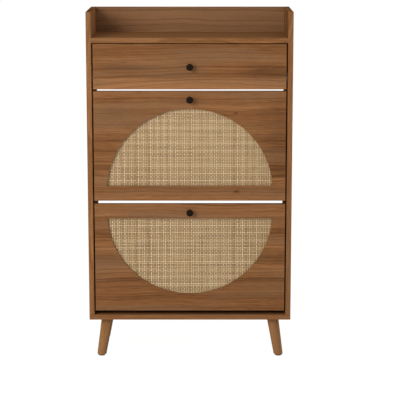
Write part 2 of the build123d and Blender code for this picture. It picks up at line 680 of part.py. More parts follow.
def axle(depth, foot, direction):
    """Left axle riveted to a rail's web, through its roller, with a head that keeps the roller on."""
    roller_far = ROLLER_START + ROLLER_WIDTH if direction > 0 else ROLLER_START
    head = roller_far + direction * AXLE_HEAD_GAP
    along = (direction, 0, 0)
    shank = rod(at(foot - INNER_HALF, depth, ROLLER_Z), along, abs(head - foot), AXLE_RADIUS)
    return shank + rod(at(head - INNER_HALF, depth, ROLLER_Z), along, AXLE_HEAD, AXLE_HEAD_RADIUS, CAM_FLATS)


def slides():
    """Roller slides on both sides: rails, axles and rollers."""
    front_depth = RAIL_START + ROLLER_END
    rear_depth = RAIL_START + RAIL_LENGTH - ROLLER_END
    rails = {"cabinet_rail": cabinet_rail(), "drawer_rail": drawer_rail()}
    pairs = {
        "front_roller_axles": axle(front_depth, RAIL_SHEET, 1),
        "rear_roller_axles": axle(rear_depth, RAIL_SPACE - RAIL_SHEET, -1),
        "front_rollers": roller(front_depth),
        "rear_rollers": roller(rear_depth),
    }
    nodes = {f"left_{name}": rail for name, rail in rails.items()}
    nodes.update({f"right_{name}": mirrored(rail) for name, rail in rails.items()})
    nodes.update({name: group([piece, mirrored(piece)]) for name, piece in pairs.items()})
    return nodes


def drawer():
    """Drawer front and box: sides cammed to the front, back housed in the sides, bottom in grooves."""
    knob = knob_set(DRAWER_FRONT_Z + DRAWER_FRONT_HEIGHT / 2)
    wall_top = DRAWER_WALL_Z + DRAWER_WALL_HEIGHT
    bottom_z = DRAWER_WALL_Z + DRAWER_BOTTOM_RISE
    bottom_top = bottom_z + DRAWER_BOTTOM
    groove_half = DRAWER_INNER + DRAWER_GROOVE
    back_depth = (DRAWER_REAR - DRAWER_BACK_INSET - DRAWER_WALL, DRAWER_REAR - DRAWER_BACK_INSET)
    back_half = DRAWER_INNER + DRAWER_HOUSING
    bottom_depth = (FRONT_BACK - DRAWER_GROOVE, DRAWER_REAR)
    bottom = block((-groove_half, groove_half), bottom_depth, (bottom_z, bottom_top))
    back = block((-back_half, back_half), back_depth, (bottom_top, wall_top))
    wall_middle = (DRAWER_INNER + DRAWER_OUTER) / 2
    cam_z = (bottom_top + wall_top) / 2
    joint = cam_joint(at(-wall_middle, FRONT_BACK, cam_z), BACK, ACROSS, DRAWER_WALL, DRAWER_CAM_HEIGHT)
    side = board((-DRAWER_OUTER, -DRAWER_INNER), (FRONT_BACK, DRAWER_REAR), (DRAWER_WALL_Z, wall_top))
    side = side - bottom - back - joint["board_cut"]
    front = front_panel(DRAWER_FRONT_Z, DRAWER_FRONT_HEIGHT) - bottom - knob["hole"]
    front = front - joint["face_cut"] - mirrored(joint["face_cut"])
    return {
        "drawer_front": front,
        "drawer_left_side": side,
        "drawer_right_side": mirrored(side),
        "drawer_back": back,
        "drawer_bottom": bottom,
        "drawer_knob": knob["knob"],
        "drawer_knob_screw": knob["screw"],
        "drawer_cam_locks": group([joint["lock"], mirrored(joint["lock"])]),
        "drawer_cam_bolts": group([joint["bolt"], mirrored(joint["bolt"])]),
    }


def build():
    """Every node of the cabinet, by name."""
    nodes = carcass()
    nodes.update(slides())
    nodes.update(drawer())
    nodes.update(door("lower", LOWER_DOOR_Z, flat_below=False))
    nodes.update(door("upper", UPPER_DOOR_Z, flat_below=True))
    return nodes


os.makedirs("parts", exist_ok=True)
for node, shape in build().items():
    export_step(shape, f"parts/{node}.step")
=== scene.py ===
import json
from math import floor, pi, radians, tan

import bpy
import numpy as np
from bpy.props import FloatProperty, FloatVectorProperty, IntProperty, PointerProperty
from mathutils import Matrix, Vector


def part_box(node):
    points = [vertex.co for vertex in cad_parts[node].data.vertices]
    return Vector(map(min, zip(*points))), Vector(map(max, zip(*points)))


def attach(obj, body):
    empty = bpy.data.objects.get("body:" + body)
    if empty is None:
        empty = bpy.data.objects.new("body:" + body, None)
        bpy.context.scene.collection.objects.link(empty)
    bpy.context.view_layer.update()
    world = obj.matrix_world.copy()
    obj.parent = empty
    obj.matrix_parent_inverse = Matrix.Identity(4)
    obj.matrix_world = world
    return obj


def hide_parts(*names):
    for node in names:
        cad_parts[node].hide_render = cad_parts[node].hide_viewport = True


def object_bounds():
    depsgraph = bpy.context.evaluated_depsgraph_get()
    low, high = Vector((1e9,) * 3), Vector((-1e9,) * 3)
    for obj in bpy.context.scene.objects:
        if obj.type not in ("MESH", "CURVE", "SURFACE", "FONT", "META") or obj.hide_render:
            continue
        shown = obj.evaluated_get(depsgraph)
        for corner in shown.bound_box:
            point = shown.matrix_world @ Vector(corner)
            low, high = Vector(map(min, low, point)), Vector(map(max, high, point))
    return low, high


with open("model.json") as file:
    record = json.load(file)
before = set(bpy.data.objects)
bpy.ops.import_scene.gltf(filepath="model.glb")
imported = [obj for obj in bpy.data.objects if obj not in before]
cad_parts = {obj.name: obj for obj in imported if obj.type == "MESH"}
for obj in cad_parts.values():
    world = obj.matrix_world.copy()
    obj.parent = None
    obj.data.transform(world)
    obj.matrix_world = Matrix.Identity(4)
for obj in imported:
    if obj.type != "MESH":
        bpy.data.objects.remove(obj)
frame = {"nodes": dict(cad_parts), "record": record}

bl_info = {
    "name": "Shoe Cabinet Looks",
    "version": (1, 0, 0),
    "blender": (4, 5, 0),
    "location": "View3D > Sidebar > Cabinet",
    "description": "Walnut, woven cane, turned legs, knobs and fittings for a shoe cabinet, and its stage",
    "category": "Object",
}

# The cabinet's frame: metres, X across, Y back, Z up; the fronts face -Y
CAD_BOX = [list(corner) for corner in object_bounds()]
ACROSS = Vector((1, 0, 0))
BACK = Vector((0, 1, 0))
UP = Vector((0, 0, 1))
SIDES = (("left", -1), ("right", 1))
ROWS = (("front", -1), ("rear", 1))
DOORS = ("upper", "lower")
FRONTS = ("drawer", "upper_door", "lower_door")
DOOR_JOINTS = ("upper_door_tilt", "lower_door_tilt")
# Grain of each board, measured from its middle. The heart is a point along and beside it; a larger stretch
# bends the rings more; a stripe is a lighter or darker band between two heights; a patch is a soft lighter or
# darker place: its middle, its half length and half height, and its lift; the ones here are all darker, those
# at the right of the drawer and of the upper door are painted shade where less light falls, the others a long
# darker band and a blotch; a knot is a place and a radius; an arch is a dark line: the place of its crown,
# its curve and its half width; a tint is a colour mixed in.
BOARDS = {
    "drawer_front": {
        "grain": ACROSS, "heart": (0.07, -0.105), "stretch": 0.13,
        "stripes": ((-0.08, -0.034, 0.25),), "arches": ((0.09, -0.037, 0.12, 0.003),),
        # its right patch is painted shade, where less light falls; the left one is a long darker band
        "shade_and_blotches": ((-0.18, -0.004, 0.13, 0.018, -0.20), (0.23, -0.016, 0.09, 0.030, -0.14)),
    },
    "upper_door_panel": {
        "grain": ACROSS, "heart": (-0.10, 0.24), "stripes": ((-0.18, -0.115, 0.10),),
        # its right patch is painted shade, where less light falls; the upper left one is a darker blotch
        "shade_and_blotches": ((-0.225, 0.100, 0.06, 0.035, -0.16), (0.265, 0.0, 0.07, 0.15, -0.16)),
        "knots": ((0.135, 0.098, 0.007), (0.137, -0.134, 0.009)),
    },
    "lower_door_panel": {
        "grain": ACROSS, "heart": (0.16, -0.26), "stretch": 0.09,
        "stripes": ((-0.17, -0.085, -0.05), (0.11, 0.18, 0.06)),
    },
    "upper_back_panel": {
        "grain": ACROSS, "heart": (0.05, -0.02), "stretch": 0.10, "stripes": ((0.02, 0.15, 0.11),),
        "tint": (0.262, 0.156, 0.084),
    },
    "mid_back_rail": {"grain": ACROSS, "heart": (0.0, 0.03)},
    "lower_back_rail": {"grain": ACROSS, "heart": (0.02, -0.03)},
    "tray_shelf": {"grain": ACROSS, "heart": (0.0, 0.08), "gloss": 0.0, "stripes": ((-0.3, 0.3, 0.10),)},
    "drawer_divider": {"grain": ACROSS, "heart": (0.0, 0.05)},
    "bottom_panel": {"grain": ACROSS, "heart": (0.0, -0.07)},
    "left_side_panel": {"grain": UP, "heart": (0.0, 0.05), "gloss": 0.0, "stripes": ((-0.3, 0.3, 0.26),)},
    "right_side_panel": {"grain": UP, "heart": (0.0, -0.04), "gloss": 0.0},
}
BOARD_TINT = 0.4  # share of a board's tint in its colour
HEART_DEPTH = 0.035  # metres from a board's middle to the heart of its rings, through the board
FIRST_SEED = 1.0  # of the first board's noise
SEED_STEP = 3.1  # from board to board
LEG_HEART = Vector((0.012, 0.03, 0))  # metres from a leg's foot to the heart of its rings
LEG_SEED = 40.0
LEG_SEED_ACROSS = 5  # added on the right and taken away on the left
LEG_SEED_BACK = 11  # added at the rear and taken away at the front
# Layers of walnut that follow its rings: how many to a band's width, their detail and place in the noise
RING_LAYERS = {
    "broad": (1, 2.0, 0.0),
    "fine": (8, 1.0, 20.0),
    "lines": (4, 0.0, 40.0),
    "hairs": (10, 0.0, 60.0),
}
# Weight of each layer in the walnut's tone
GRAIN_WEIGHTS = {"broad": 0.52, "fine": 0.26, "long_fibres": 0.36, "short_fibres": 0.40, "drift": 0.25}
# Dark lines in the walnut: the values of a layer at which they start and are full, and how much they show
DARK_LINES = {"lines": (0.62, 0.70, 0.25), "hairs": (0.60, 0.70, 0.26), "pores": (0.58, 0.68, 0.26)}
STRIPE_EDGE = 0.002  # metres, half the soft edge of a stripe
STRIPE_WAVE = 0.25  # how much of the grain's waves a stripe follows
# Cane strands that lie side by side along an axis: steps from row to row of their own tone and of the pale
# ones, place in the random draw, middle tone, how far single strands stray from it, and waves per metre of
# their fibres and stains. The upright strands' higher middle tone is painted light and shade: it stands in
# for the light on the weave's relief, so that the crossings show as a checkerboard.
CANE_ROWS = {
    "Z": {
        "own_step": 0.6180, "pale_step": 0.2319, "draw": 0.3, "middle": 0.48, "single": 0.15,
        "fibres": (40.0, 900.0, 900.0), "stain": (9.0, 60.0, 190.0),
    },
    "X": {
        "own_step": 0.4142, "pale_step": 0.7321, "draw": 0.7, "middle": 0.62, "single": 0.42,
        "fibres": (900.0, 900.0, 40.0), "stain": (190.0, 60.0, 9.0),
    },
}
STRAY_STEPS = (12.9898, 4.1414)  # radians from row to row of the waves that lead strands off their rows
FRAME_SCREWS = (0.1, 0.5, 0.9)  # places of a flip frame's screws, as parts of its height
# Soft lamps: the place of each and its side, in metres
LAMPS = {
    "key": ((-2.0, -3.0, 1.9), 1.8),
    "fill": ((3.2, -1.4, 1.6), 2.2),
    "rear": ((0.6, 3.0, 2.6), 2.0),
}
WHITE = (1, 1, 1, 1)
FLOOR_SIDE = 80  # metres
VIEW_END = 200.0  # metres from the camera
IMAGE_SIDE = 400  # pixels of the square picture
SENSOR = 36.0  # millimetres, the camera's default
NEAR = 1e-5  # metres within which a point lies at a place
SMOOTH_ANGLE = radians(35.0)  # an edge sharper than this stays crisp


def colour(name, description, default):
    """Colour property in linear values."""
    return FloatVectorProperty(
        name=name, description=description, subtype="COLOR", size=3, min=0.0, max=1.0, default=default
    )


def length(name, description, default):
    """Length property in metres."""
    return FloatProperty(
        name=name, description=description, subtype="DISTANCE", unit="LENGTH", precision=5, default=default
    )


def share(name, description, default):
    """Plain number between 0 and 1."""
    return FloatProperty(
        name=name, description=description, subtype="FACTOR", min=0.0, max=1.0, default=default
    )


def angle(name, description, degrees):
    """Angle property, given in degrees."""
    return FloatProperty(
        name=name, description=description, subtype="ANGLE", unit="ROTATION", default=radians(degrees)
    )


def power(name, description, default):
    """Power of a lamp in watts."""
    return FloatProperty(name=name, description=description, unit="POWER", default=default)


def whole(name, description, least, default):
    """Whole number with a least value."""
    return IntProperty(name=name, description=description, min=least, default=default)


class WalnutSettings(bpy.types.PropertyGroup):
    """Colours and grain of the walnut boards and legs."""

    dark: colour("Dark grain", "Late growth in the walnut", (0.138, 0.055, 0.019))
    middle: colour("Middle grain", "Most of the walnut", (0.256, 0.107, 0.037))
    light: colour("Light grain", "Early growth in the walnut", (0.385, 0.176, 0.069))
    grey: colour("Grey bands", "Cooler bands along the boards", (0.232, 0.124, 0.060))
    line: colour("Dark lines", "Thin lines along the grain", (0.085, 0.030, 0.009))
    leg: colour("Leg tint", "Lighter wood of the legs", (0.430, 0.215, 0.080))
    band: length("Band width", "Width of the broad bands", 0.036)
    fibre: length("Fibre width", "Width of the fine fibres", 0.0028)
    warp: length("Waviness", "How far the grain wanders sideways", 0.036)
    roughness: share("Roughness", "Roughness of the matt lacquer", 0.62)


class CaneSettings(bpy.types.PropertyGroup):
    """Colours and sizes of the woven cane."""

    pale: colour("Pale strand", "The palest strands", (0.92, 0.715, 0.45))
    middle: colour("Strand", "Most strands", (0.645, 0.437, 0.220))
    # also the colour of the painted shade on the edges of the strands
    shade: colour("Shaded strand", "The darkest strands", (0.20, 0.115, 0.045))
    pitch: length("Pitch", "From strand to strand", 0.0052)
    width: length("Strand width", "Width of a strand", 0.0037)
    # painted shade on the edges of each strand, where it dips beside its neighbours
    edge: share("Dark edges", "How much darker the edges of a strand are", 1.0)
    thickness: length("Strand thickness", "Thickness of a strand", 0.0007)
    rise: length("Weave height", "How far a strand rises over its neighbour", 0.00045)
    trim: length("Trim", "From the ends of the strands to the edge of the sheet", 0.0008)
    wander: length("Wander", "How far a strand strays from its row", 0.00035)
    steps: whole("Steps", "Lengths of strand from crossing to crossing", 2, 4)
    sides: whole("Sides", "Sides of a strand's section", 4, 6)


class LegSettings(bpy.types.PropertyGroup):
    """Sizes of the turned legs and their foot pads."""

    top_radius: length("Top radius", "Radius under the bottom panel", 0.0175)
    foot_radius: length("Foot radius", "Radius at the foot", 0.0135)
    foot_round: length("Foot rounding", "Rounding of the foot's edge", 0.0028)
    splay: angle("Splay", "Lean outwards, sideways and in depth", 9.0)
    inset_side: length("Side inset", "Leg's top centre from the outer side", 0.052)
    inset_depth: length("Depth inset", "Leg's top centre from the front or back edge", 0.040)
    pad_radius: length("Pad radius", "Radius of the foot pad", 0.010)
    pad_round: length("Pad rounding", "Rounding of the pad's lower edge", 0.0008)
    sides: whole("Sides", "Sides of the legs and pads", 12, 64)


class KnobSettings(bpy.types.PropertyGroup):
    """Sizes and colour of the knobs."""

    paint: colour("Paint", "Brown-black paint", (0.0092, 0.0040, 0.0013))
    neck_radius: length("Neck radius", "Radius of the neck", 0.005)
    flare_start: length("Flare start", "Where the neck starts to widen", 0.008)
    rim_start: length("Rim start", "Where the rim starts", 0.013)
    rim_round: length("Rim rounding", "Rounding of the front edge", 0.0028)
    back_round: length("Back rounding", "Rounding of the rim's back edge and of the neck", 0.0009)
    sides: whole("Sides", "Sides of a knob", 12, 64)


class ScrewSettings(bpy.types.PropertyGroup):
    """Sizes of the small screw heads on the fittings."""

    radius: length("Head radius", "Radius of a screw head", 0.0033)
    height: length("Head height", "How far a head stands proud", 0.0009)
    crown: share("Crown", "Share of a head's height that is rounded", 0.8)
    sides: whole("Sides", "Sides of a screw head", 12, 24)
    recess: length("Recess", "Length of the cross recess", 0.0036)
    recess_width: length("Recess width", "Width of the cross recess", 0.0008)
    plate: length("Pivot plate", "Thickness of a pivot plate", 0.003)
    plate_back: length("Plate screws back", "Screws behind the pivot", 0.017)
    plate_rise: length("Plate screws up", "Screws above and below the pivot", 0.016)
    sheet: length("Rail sheet", "Thickness of the rails", 0.0012)
    flange: length("Flange", "Thickness of a flip frame's flange", 0.003)
    flange_inset: length("Flange screws in", "Screws from the frame's outer face", 0.014)
    end_inset: length("Rail screws in", "Screws from the ends of the rails", 0.030)
    edge_inset: length("Rail screws aside", "Screws from the inner edge of a drawer rail", 0.005)


class FittingSettings(bpy.types.PropertyGroup):
    """Colours of the fittings and the boards inside."""

    inner_board: colour("Inner boards", "Brown laminate inside", (0.235, 0.128, 0.066))
    backing: colour("Backing", "Board behind the cane", (0.170, 0.098, 0.052))
    plastic: colour("Plastic", "Moulded flip frames", (0.035, 0.033, 0.031))
    steel: colour("Steel", "Bright steel", (0.60, 0.60, 0.59))
    zinc: colour("Zinc", "Cast zinc cams", (0.52, 0.53, 0.54))
    plate: colour("Plate paint", "Dark paint on the pivot plates", (0.030, 0.026, 0.023))
    rail: colour("Rail paint", "Coated rails", (0.72, 0.70, 0.66))
    nylon: colour("Nylon", "Rollers", (0.78, 0.77, 0.73))
    beech: colour("Beech", "Wood dowels", (0.60, 0.41, 0.23))
    pad: colour("Foot pad", "Felt under the legs", (0.045, 0.032, 0.024))


class StageSettings(bpy.types.PropertyGroup):
    """Camera, floor and light."""

    distance: length("Distance", "From the camera to the cabinet's front", 4.5)
    height: length("Height", "Height of the camera", 1.335)
    offset: length("Offset", "Camera right of the cabinet's middle", 0.030)
    tilt: angle("Tilt", "Camera's look down", 10.77)
    focus: FloatProperty(
        name="Focal length", description="Focal length in pixels of the picture", default=1556.0
    )
    floor: colour("Floor", "Pale floor", (0.88, 0.88, 0.87))
    floor_glow: share("Floor glow", "How much of the floor shows as plain white", 0.86)
    ambient: FloatProperty(name="Ambient", description="Light from all round", min=0.0, default=0.36)
    key: power("Key lamp", "Soft lamp at the left front", 78.0)
    fill: power("Fill lamp", "Soft lamp at the right", 15.0)
    rear: power("Rear lamp", "Soft lamp high behind", 18.0)


def settings(name):
    """One of the cabinet's groups of settings."""
    return getattr(bpy.context.scene, f"cabinet_{name}")


# Modelling


def clear_selection():
    """Leave edit mode with nothing selected, so that an operator touches only what comes next."""
    if bpy.context.object and bpy.context.object.mode != "OBJECT":
        bpy.ops.object.mode_set(mode="OBJECT")
    bpy.ops.object.select_all(action="DESELECT")


def choose(*pieces):
    """Select these pieces only; the first is the active one."""
    clear_selection()
    for piece in pieces:
        piece.select_set(True)
    bpy.context.view_layer.objects.active = pieces[0]


def edit_all(piece):
    """Edit a piece with all of it selected."""
    choose(piece)
    bpy.ops.object.mode_set(mode="EDIT")
    bpy.ops.mesh.select_all(action="SELECT")


def edit_edges(piece, chosen):
    """Edit a piece with those edges selected whose two ends pass a test."""
    edit_all(piece)
    bpy.ops.mesh.select_mode(type="EDGE")
    bpy.ops.mesh.select_all(action="DESELECT")
    bpy.ops.object.mode_set(mode="OBJECT")
    points = piece.data.vertices
    for edge in piece.data.edges:
        edge.select = all(chosen(points[end].co) for end in edge.vertices)
    bpy.ops.object.mode_set(mode="EDIT")


def leave_edit():
    """Back to object mode."""
    bpy.ops.object.mode_set(mode="OBJECT")


def place(piece, matrix):
    """Put a piece in its place, in its mesh and not in its object."""
    piece.matrix_world = matrix
    choose(piece)
    bpy.ops.object.transform_apply(location=True, rotation=True, scale=True)


def settle(piece, material, body, slot, *nodes):
    """Give a finished piece its material and its body, and hide the nodes that it stands for; its slot is not
    used.
    """
    choose(piece)
    bpy.ops.object.shade_smooth_by_angle(angle=SMOOTH_ANGLE)
    piece.data.materials.clear()
    piece.data.materials.append(material)
    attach(piece, body)
    if nodes:
        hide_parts(*nodes)


def turned(name, rings, sides):
    """Turned piece along +Z: a filled circle, extruded and scaled from ring to ring."""
    clear_selection()
    radius, height = rings[0]
    bpy.ops.mesh.primitive_circle_add(
        vertices=sides, radius=radius, fill_type="NGON", location=(0, 0, height)
    )
    piece = bpy.context.object
    piece.name = name
    place(piece, piece.matrix_world.copy())
    edit_all(piece)
    for next_radius, next_height in rings[1:]:
        bpy.ops.mesh.extrude_region_move(TRANSFORM_OT_translate={"value": (0, 0, next_height - height)})
        scale = next_radius / radius
        bpy.ops.transform.resize(value=(scale, scale, 1), center_override=(0, 0, next_height))
        radius, height = next_radius, next_height
    bpy.ops.mesh.select_all(action="SELECT")
    bpy.ops.mesh.normals_make_consistent(inside=False)
    leave_edit()
    return piece


def round_ring(piece, height, radius, rounding, segments):
    """Round the edge that runs round a turned piece at a height and radius."""

    def on_ring(point):
        return abs(point.z - height) < NEAR and abs(point.xy.length - radius) < NEAR

    edit_edges(piece, on_ring)
    bpy.ops.mesh.bevel(offset=rounding, segments=segments, affect="EDGES", clamp_overlap=True)
    leave_edit()


def joined(name, pieces):
    """One piece from several."""
    choose(*pieces)
    bpy.ops.object.join()
    piece = bpy.context.object
    piece.name = name
    return piece


# Materials


def blank(name):
    """New material: the material, its node tree and its shader."""
    material = bpy.data.materials.new(name)
    material.use_nodes = True
    return material, material.node_tree, material.node_tree.nodes["Principled BSDF"]


def add(tree, kind, inputs=None, **options):
    """Add a node; an input is given a value, or the socket that feeds it."""
    made = tree.nodes.new(kind)
    for name, value in options.items():
        setattr(made, name, value)
    for name, value in (inputs or {}).items():
        if isinstance(value, bpy.types.NodeSocket):
            tree.links.new(value, made.inputs[name])
        else:
            made.inputs[name].default_value = value
    return made


def vector_math(tree, operation, first, second):
    """Vector from two vectors."""
    made = add(tree, "ShaderNodeVectorMath", {0: first, 1: second}, operation=operation)
    return made.outputs["Vector"]


def scaled(tree, vector, factors):
    """Vector with each coordinate times a factor."""
    return vector_math(tree, "MULTIPLY", vector, factors)


def distance(tree, vector):
    """Length of a vector."""
    return add(tree, "ShaderNodeVectorMath", {0: vector}, operation="LENGTH").outputs["Value"]


def maths(tree, operation, first, second=0.0):
    """Number from one or two numbers."""
    return add(tree, "ShaderNodeMath", {0: first, 1: second}, operation=operation).outputs["Value"]


def noise(tree, vector, detail, seed=0.0):
    """Smooth noise, one unit wide, as a number."""
    made = add(
        tree, "ShaderNodeTexNoise", {"Vector": vector, "W": seed, "Scale": 1.0, "Detail": detail},
        noise_dimensions="4D",
    )
    return made.outputs["Fac"]


def ramp(tree, factor, stops):
    """Colours or greys over a factor, from a list of places and colours."""
    made = add(tree, "ShaderNodeValToRGB", {"Fac": factor})
    elements = made.color_ramp.elements
    while len(elements) < len(stops):
        elements.new(0.5)
    for element, (position, shade) in zip(elements, stops):
        element.position = position
        element.color = (*shade, 1.0)
    return made.outputs["Color"]


def step(tree, factor, low, high):
    """Number that rises from 0 to 1 between two values of a factor."""
    made = add(tree, "ShaderNodeMapRange", {"Value": factor, "From Min": low, "From Max": high})
    return made.outputs["Result"]


def faded(tree, factor, low, high, most):
    """Number that goes from 0 to its most between two values of a factor."""
    return maths(tree, "MULTIPLY", step(tree, factor, low, high), most)


def mix(tree, factor, shade, other):
    """A colour socket with some of another colour in it."""
    inputs = {0: factor, 6: shade, 7: (*other, 1.0)}
    return add(tree, "ShaderNodeMix", inputs, data_type="RGBA").outputs[2]


def between(tree, factor, first, second):
    """Vector between two vectors."""
    inputs = {0: factor, 4: first, 5: second}
    return add(tree, "ShaderNodeMix", inputs, data_type="VECTOR").outputs[1]


def bump(tree, shader, height, strength, distance):
    """Fine relief on a shader."""
    made = add(tree, "ShaderNodeBump", {"Height": height, "Strength": strength, "Distance": distance})
    tree.links.new(made.outputs["Normal"], shader.inputs["Normal"])


def object_coordinates(tree):
    """Place in the cabinet's frame."""
    return add(tree, "ShaderNodeTexCoord").outputs["Object"]


def along_grain(tree, vector, grain):
    """Coordinates turned so that the grain runs along X."""
    turn = grain.normalized().rotation_difference(ACROSS).to_euler()
    return add(tree, "ShaderNodeMapping", {"Vector": vector, "Rotation": turn}).outputs["Vector"]


def ring_noise(tree, ring, width, detail, seed):
    """Noise along the distance from the heart line, so that it runs on along the grain."""
    in_rings = add(tree, "ShaderNodeMath", {0: ring, 1: 1.0 / width, 2: seed}, operation="MULTIPLY_ADD")
    inputs = {"W": in_rings.outputs["Value"], "Scale": 1.0, "Detail": detail}
    return add(tree, "ShaderNodeTexNoise", inputs, noise_dimensions="1D").outputs["Fac"]


def weighted(tree, base, parts):
    """Sum of a base and of noises about their middle, each with its weight."""
    total = base
    for socket, weight in parts:
        centred = add(
            tree, "ShaderNodeMath", {0: socket, 1: weight, 2: -0.5 * weight}, operation="MULTIPLY_ADD"
        )
        total = maths(tree, "ADD", centred.outputs["Value"], total)
    return total


def stripe(tree, value, low, high):
    """1 between two values, with soft edges."""
    rise = step(tree, value, low - STRIPE_EDGE, low + STRIPE_EDGE)
    fall = step(tree, value, high + STRIPE_EDGE, high - STRIPE_EDGE)
    return maths(tree, "MULTIPLY", rise, fall)


def from_place(tree, place, factors):
    """Distance from a place in the frame, with each direction times a factor."""
    offset = vector_math(tree, "SUBTRACT", object_coordinates(tree), place)
    return distance(tree, scaled(tree, offset, factors))


def grain_coordinates(tree, heart, grain, ends):
    """Place from the heart line with the grain along X; end faces may show grain along another direction."""
    coordinates = add(tree, "ShaderNodeTexCoord")
    from_heart = vector_math(tree, "SUBTRACT", coordinates.outputs["Object"], heart)
    lengthwise = along_grain(tree, from_heart, grain)
    if not ends:
        return lengthwise
    normal = vector_math(tree, "ABSOLUTE", coordinates.outputs["Normal"], (0, 0, 0))
    facing = add(tree, "ShaderNodeVectorMath", {0: normal, 1: grain}, operation="DOT_PRODUCT")
    on_end = maths(tree, "GREATER_THAN", facing.outputs["Value"], 0.5)
    return between(tree, on_end, lengthwise, along_grain(tree, from_heart, ends))


def wavy(tree, straight, seed):
    """Coordinates along the grain that wander slowly sideways."""
    warp = settings("walnut").warp
    slow = scaled(tree, straight, (2.6, 7.0, 7.0))
    inputs = {"Vector": slow, "W": seed, "Scale": 1.0, "Detail": 2.0}
    wander = add(tree, "ShaderNodeTexNoise", inputs, noise_dimensions="4D")
    sideways = vector_math(tree, "SUBTRACT", wander.outputs["Color"], (0.5, 0.5, 0.5))
    return vector_math(tree, "ADD", straight, scaled(tree, sideways, (0.0, warp, warp)))


def ring_layers(tree, flow, stretch, seed):
    """Bands and lines that follow the rings, by name."""
    band = settings("walnut").band
    ring = distance(tree, scaled(tree, flow, (stretch, 1.0, 1.0)))
    layers = {}
    for name, (number, detail, offset) in RING_LAYERS.items():
        layers[name] = ring_noise(tree, ring, band / number, detail, seed + offset)
    return layers


def fibre_layers(tree, flow, seed):
    """Fibres, pores and slow drifts, drawn out along the grain, by name."""
    thin = 1.0 / settings("walnut").fibre
    # Waves per metre along and across the grain, detail and place in the noise
    shapes = {
        "long_fibres": (6.0, thin, 2.0, 0.0),
        "short_fibres": (26.0, 1.4 * thin, 2.0, 0.0),
        "pores": (55.0, 1300.0, 1.0, 0.0),
        "drift": (2.0, 20.0, 2.0, 7.0),
    }
    layers = {}
    for name, (along, across, detail, offset) in shapes.items():
        layers[name] = noise(tree, scaled(tree, flow, (along, across, across)), detail, seed + offset)
    return layers


def striped(tree, tone, straight, flow, stripes):
    """Tone with lighter or darker stripes between two heights across the board."""
    followed = between(tree, STRIPE_WAVE, straight, flow)
    across = add(tree, "ShaderNodeSeparateXYZ", {"Vector": followed}).outputs["Z"]
    for low, high, lift in stripes:
        lifted = maths(tree, "MULTIPLY", stripe(tree, across, low, high), lift)
        tone = maths(tree, "ADD", tone, lifted)
    return tone


def shaded_and_blotched(tree, tone, layers, shade_and_blotches):
    """Tone with soft lighter or darker places, which stand for painted shade and for darker blotches and
    bands.
    """
    for place, half_length, half_height, lift in shade_and_blotches:
        away = from_place(tree, place, (1.0 / half_length, 0.0, 1.0 / half_height))
        away = weighted(tree, away, [(layers["drift"], 1.2), (layers["long_fibres"], 0.6)])
        tone = maths(tree, "ADD", tone, faded(tree, away, 1.2, 0.2, lift))
    return tone


def knotted(tree, shade, layers, knots):
    """Colour with small dark knots, longer along the grain."""
    for place, radius in knots:
        away = from_place(tree, place, (0.7 / radius, 0.0, 1.4 / radius))
        away = weighted(tree, away, [(layers["short_fibres"], 0.9)])
        shade = mix(tree, faded(tree, away, 1.0, 0.2, 0.75), shade, settings("walnut").line)
    return shade


def arched(tree, shade, layers, arches):
    """Colour with thin dark arches."""
    for crown, curve, width in arches:
        offset = vector_math(tree, "SUBTRACT", object_coordinates(tree), crown)
        parts = add(tree, "ShaderNodeSeparateXYZ", {"Vector": offset}).outputs
        bend = maths(tree, "MULTIPLY", maths(tree, "POWER", parts["X"], 2.0), curve)
        away = maths(tree, "ABSOLUTE", maths(tree, "ADD", parts["Z"], bend))
        broken = maths(tree, "MULTIPLY", layers["long_fibres"], 0.9)
        line = maths(tree, "MULTIPLY", step(tree, away, width, 0.0), broken)
        shade = mix(tree, line, shade, settings("walnut").line)
    return shade


def walnut(
    name, grain, heart, seed, ends=None, tint=None, tint_share=0.6, stretch=0.06, gloss=0.08,
    stripes=(), shade_and_blotches=(), knots=(), arches=(),
):
    """Walnut with its rings round a heart line, and with a board's own marks and painted shade."""
    wood = settings("walnut")
    material, tree, shader = blank(name)
    straight = grain_coordinates(tree, heart, grain, ends)
    flow = wavy(tree, straight, seed)
    layers = {**ring_layers(tree, flow, stretch, seed), **fibre_layers(tree, flow, seed)}
    tone = weighted(tree, 0.5, [(layers[layer], weight) for layer, weight in GRAIN_WEIGHTS.items()])
    tone = striped(tree, tone, straight, flow, stripes)
    tone = shaded_and_blotched(tree, tone, layers, shade_and_blotches)
    shade = ramp(tree, tone, [(0.26, wood.dark), (0.48, wood.middle), (0.74, wood.light)])
    if tint:
        shade = mix(tree, tint_share, shade, tint)
    shade = mix(tree, faded(tree, layers["drift"], 0.48, 0.64, 0.6), shade, wood.grey)
    for layer, (start, full, most) in DARK_LINES.items():
        shade = mix(tree, faded(tree, layers[layer], start, full, most), shade, wood.line)
    shade = knotted(tree, shade, layers, knots)
    shade = arched(tree, shade, layers, arches)
    roughness = weighted(tree, wood.roughness, [(layers["long_fibres"], 0.2)])
    relief = weighted(tree, 0.5, [(layers["short_fibres"], 1.0), (layers["pores"], -0.6)])
    tree.links.new(shade, shader.inputs["Base Color"])
    tree.links.new(roughness, shader.inputs["Roughness"])
    shader.inputs["Specular IOR Level"].default_value = gloss
    bump(tree, shader, relief, strength=0.10, distance=0.0004)
    return material


